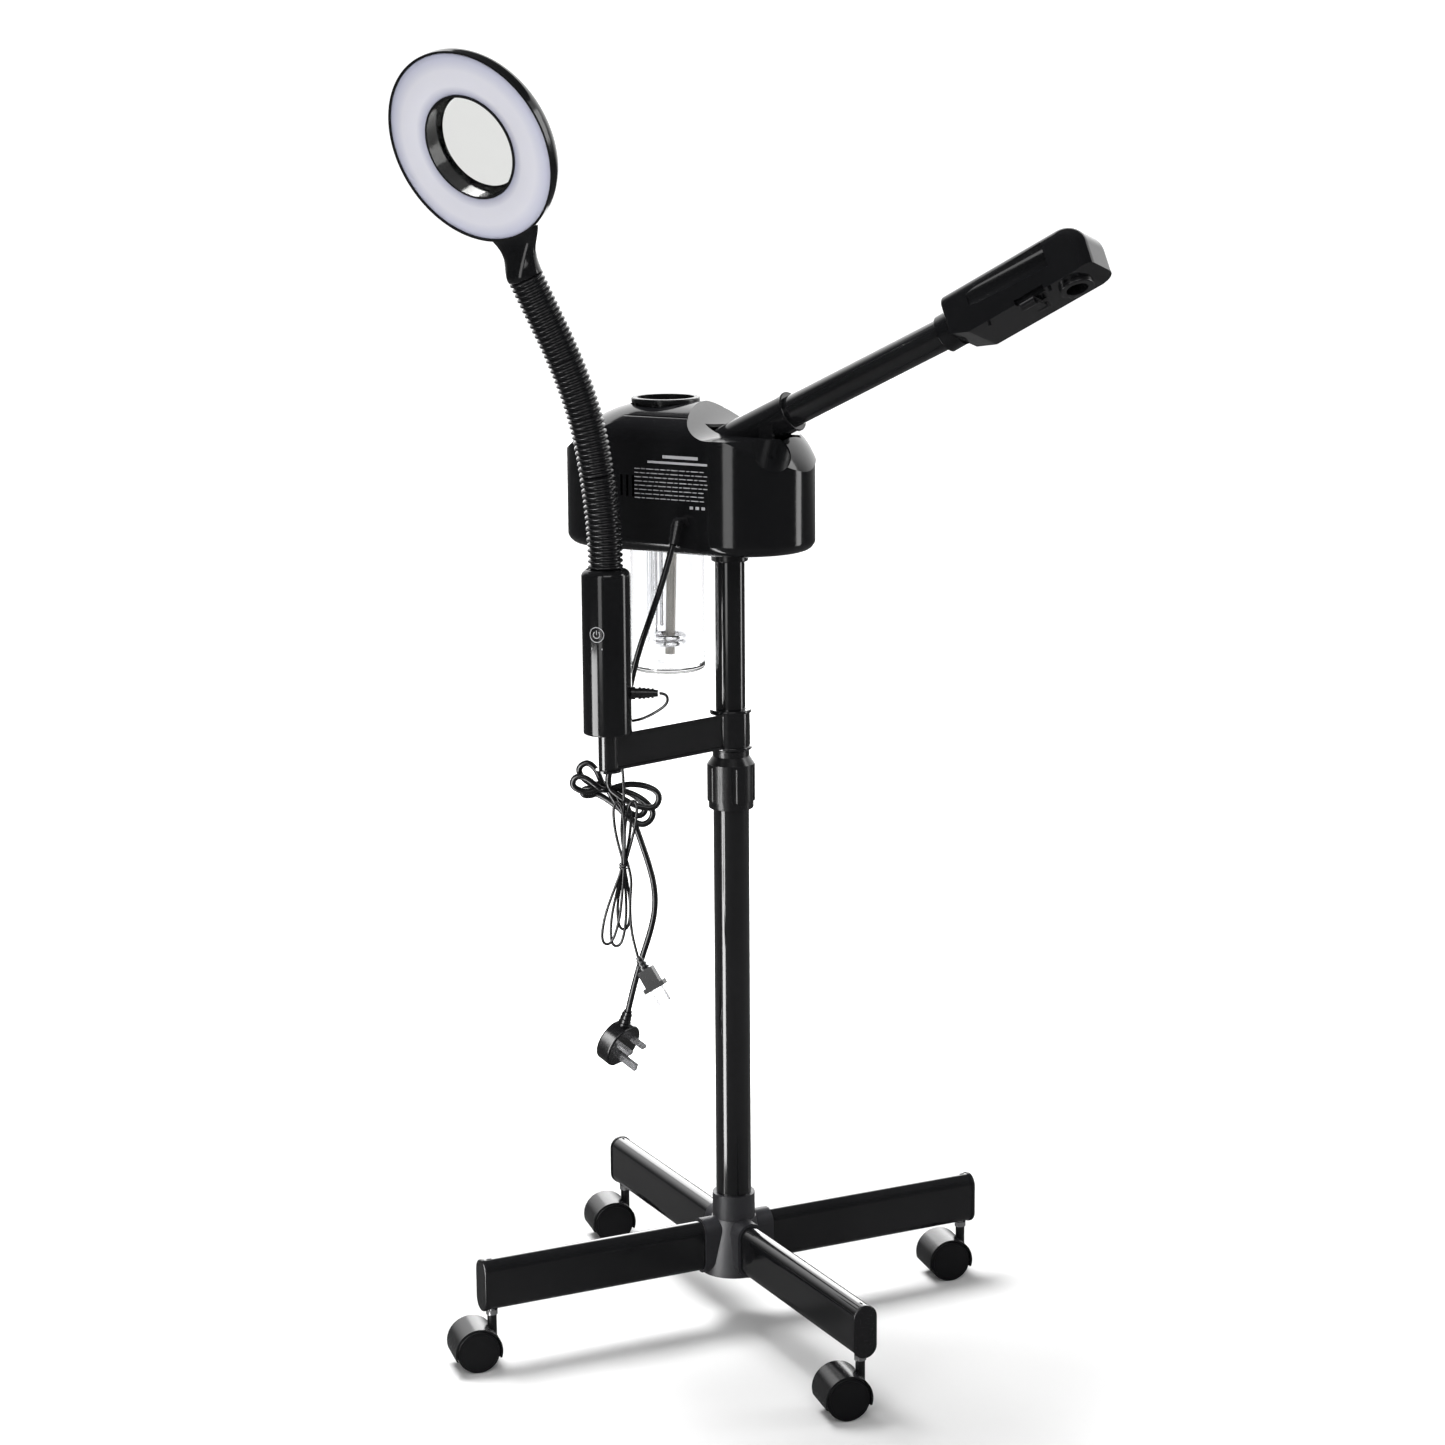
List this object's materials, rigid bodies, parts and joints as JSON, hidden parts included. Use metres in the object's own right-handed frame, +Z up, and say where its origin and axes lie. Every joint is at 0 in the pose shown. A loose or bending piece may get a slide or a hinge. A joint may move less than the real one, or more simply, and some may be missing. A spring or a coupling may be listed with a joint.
{
  "type": "facial steamer with magnifying lamp on a caster stand",
  "caption": "Floor-standing facial steamer: jar boiler housing with a tilting steam arm on a height-adjustable column, gooseneck ring lamp with magnifier, cross base on swivel casters.",
  "frame": {"origin": "centre of the footprint of the whole machine, on the floor plane under the casters", "axes": "+Z up along the column; the four legs point along +X, -X, +Y and -Y"},
  "size_m": [0.6521, 0.6736, 1.3632],
  "materials": {
    "satin_black_metal": "semi-gloss black powder coat",
    "hub_grey": "satin dark grey casting",
    "gloss_black": "gloss black moulding",
    "matte_black": "fine-textured black moulding",
    "wheel_black": "black nylon",
    "bright_steel": "polished",
    "grey_steel": "brushed",
    "clear_glass": "clear",
    "lens_glass": "clear",
    "white_diffuser": "opal white",
    "black_rubber": "satin black PVC",
    "nickel_pin": "plated"
  },
  "bodies": {
    "base": {"hub": "hub_grey", "leg_left": "satin_black_metal", "leg_right": "satin_black_metal", "leg_front": "satin_black_metal", "leg_back": "satin_black_metal", "leg_end_caps": "matte_black", "caster_stems": "bright_steel", "lower_tube": "satin_black_metal", "clamp_collar": "matte_black"},
    "caster_right": {"caster_hood_right": "matte_black"},
    "wheels_right": {"caster_wheels_right": "wheel_black"},
    "caster_back": {"caster_hood_back": "matte_black"},
    "wheels_back": {"caster_wheels_back": "wheel_black"},
    "caster_left": {"caster_hood_left": "matte_black"},
    "wheels_left": {"caster_wheels_left": "wheel_black"},
    "caster_front": {"caster_hood_front": "matte_black"},
    "wheels_front": {"caster_wheels_front": "wheel_black"},
    "knob": {"clamp_knob": "matte_black"},
    "mast": {"guide_bush": "matte_black", "upper_tube": "satin_black_metal", "tube_flange": "matte_black"},
    "head": {"rear_upper_shell": "gloss_black", "rear_lower_shell": "gloss_black", "front_cover": "gloss_black", "pivot_cover": "gloss_black", "filler_neck": "matte_black", "cord_grip": "black_rubber", "boiler_lid": "matte_black", "heater_coil": "bright_steel", "level_tube": "grey_steel", "probe_rods": "bright_steel", "mains_cord": "black_rubber", "mains_hank": "black_rubber", "mains_plug": "black_rubber", "mains_plug_pins": "nickel_pin"},
    "jar": {"boiler_jar": "clear_glass"},
    "power_switch": {"power_switch": "gloss_black"},
    "ozone_switch": {"ozone_switch": "gloss_black"},
    "arm": {"arm_shoe": "gloss_black", "arm_tube": "satin_black_metal"},
    "steam_head": {"head_shell": "gloss_black", "head_base": "gloss_black", "head_front_cap": "gloss_black", "nozzle_ring": "matte_black"},
    "nozzle_lever": {"nozzle_lever": "matte_black"},
    "bracket": {"lamp_bracket": "satin_black_metal", "lamp_cord": "black_rubber", "lamp_hank": "black_rubber", "lamp_plug": "black_rubber", "lamp_plug_blades": "nickel_pin"},
    "handle": {"handle_body": "gloss_black", "lamp_jack": "black_rubber", "gooseneck_1": "matte_black"},
    "neck_2": {"gooseneck_2": "matte_black"},
    "neck_3": {"gooseneck_3": "matte_black"},
    "neck_4": {"gooseneck_4": "matte_black"},
    "lamp": {"gooseneck_5": "matte_black", "lamp_shell": "gloss_black", "diffuser": "white_diffuser", "lens": "lens_glass"}
  },
  "joints": [
    {"name": "caster_swivel_right", "type": "hinge", "parent": "base", "child": "caster_right", "pos_m": [0.314, 0.022, 0.04], "axis": [0, 0, 1], "continuous": true},
    {"name": "wheel_roll_right", "type": "hinge", "parent": "caster_right", "child": "wheels_right", "pos_m": [0.29526, 0.02514, 0.023], "axis": [0.165, 0.9863, 0], "continuous": true},
    {"name": "caster_swivel_back", "type": "hinge", "parent": "base", "child": "caster_back", "pos_m": [0.028, 0.308, 0.04], "axis": [0, 0, 1], "continuous": true},
    {"name": "wheel_roll_back", "type": "hinge", "parent": "caster_back", "child": "wheels_back", "pos_m": [0.00926, 0.31114, 0.023], "axis": [0.165, 0.9863, 0], "continuous": true},
    {"name": "caster_swivel_left", "type": "hinge", "parent": "base", "child": "caster_left", "pos_m": [-0.258, 0.022, 0.04], "axis": [0, 0, 1], "continuous": true},
    {"name": "wheel_roll_left", "type": "hinge", "parent": "caster_left", "child": "wheels_left", "pos_m": [-0.27674, 0.02514, 0.023], "axis": [0.165, 0.9863, 0], "continuous": true},
    {"name": "caster_swivel_front", "type": "hinge", "parent": "base", "child": "caster_front", "pos_m": [0.028, -0.264, 0.04], "axis": [0, 0, 1], "continuous": true},
    {"name": "wheel_roll_front", "type": "hinge", "parent": "caster_front", "child": "wheels_front", "pos_m": [0.00926, -0.26086, 0.023], "axis": [0.165, 0.9863, 0], "continuous": true},
    {"name": "clamp_turn", "type": "hinge", "parent": "base", "child": "knob", "pos_m": [0.028, 0.022, 0.6036], "axis": [0, 0, 1], "range_deg": [-90, 90]},
    {"name": "mast_slide", "type": "slide", "parent": "base", "child": "mast", "axis": [0, 0, 1], "range_m": [-0.08, 0.14]},
    {"name": "head_turn", "type": "hinge", "parent": "mast", "child": "head", "pos_m": [0.028, 0.022, 0.87], "axis": [0, 0, 1], "range_deg": [-75, 6]},
    {"name": "jar_turn", "type": "hinge", "parent": "head", "child": "jar", "pos_m": [-0.01395, 0.08538, 0.8657], "axis": [0, 0, 1], "range_deg": [0, 90]},
    {"name": "power_switch_rock", "type": "hinge", "parent": "head", "child": "power_switch", "pos_m": [0.04774, 0.11901, 0.915], "axis": [0.5519, -0.8339, 0], "range_deg": [-6, 6]},
    {"name": "ozone_switch_rock", "type": "hinge", "parent": "head", "child": "ozone_switch", "pos_m": [0.08085, 0.06897, 0.915], "axis": [0.5519, -0.8339, 0], "range_deg": [-6, 6]},
    {"name": "arm_tilt", "type": "hinge", "parent": "head", "child": "arm", "pos_m": [0.06001, -0.02636, 0.952], "axis": [-0.8339, -0.5519, 0], "range_deg": [-8, 20]},
    {"name": "steam_head_roll", "type": "hinge", "parent": "arm", "child": "steam_head", "pos_m": [0.17328, -0.1975, 1.09036], "axis": [0.4948, -0.7476, 0.4431], "range_deg": [-90, 60]},
    {"name": "lever_swing", "type": "hinge", "parent": "steam_head", "child": "nozzle_lever", "pos_m": [0.21697, -0.2856, 1.11396], "axis": [0.4969, -0.7186, 0.4866], "range_deg": [0, 60]},
    {"name": "bracket_swivel", "type": "hinge", "parent": "base", "child": "bracket", "pos_m": [0.028, 0.022, 0.66], "axis": [0, 0, 1], "range_deg": [-6, 75]},
    {"name": "handle_swivel", "type": "hinge", "parent": "bracket", "child": "handle", "pos_m": [-0.13541, -0.02486, 0.66], "axis": [0, 0, 1], "range_deg": [-20, 20]},
    {"name": "neck_bend_1", "type": "hinge", "parent": "handle", "child": "neck_2", "pos_m": [-0.13865, -0.02469, 0.90989], "axis": [-0.0523, -0.9986, 0], "range_deg": [-18, 18]},
    {"name": "neck_bend_2", "type": "hinge", "parent": "neck_2", "child": "neck_3", "pos_m": [-0.1478, -0.02421, 0.97119], "axis": [-0.9803, 0.0514, -0.1908], "range_deg": [-18, 18]},
    {"name": "neck_bend_3", "type": "hinge", "parent": "neck_3", "child": "neck_4", "pos_m": [-0.16433, -0.02334, 1.03087], "axis": [-0.0523, -0.9986, 0], "range_deg": [-18, 18]},
    {"name": "neck_bend_4", "type": "hinge", "parent": "neck_4", "child": "lamp", "pos_m": [-0.18851, -0.02208, 1.08791], "axis": [-0.8976, 0.047, -0.4384], "range_deg": [-18, 18]}
  ]
}
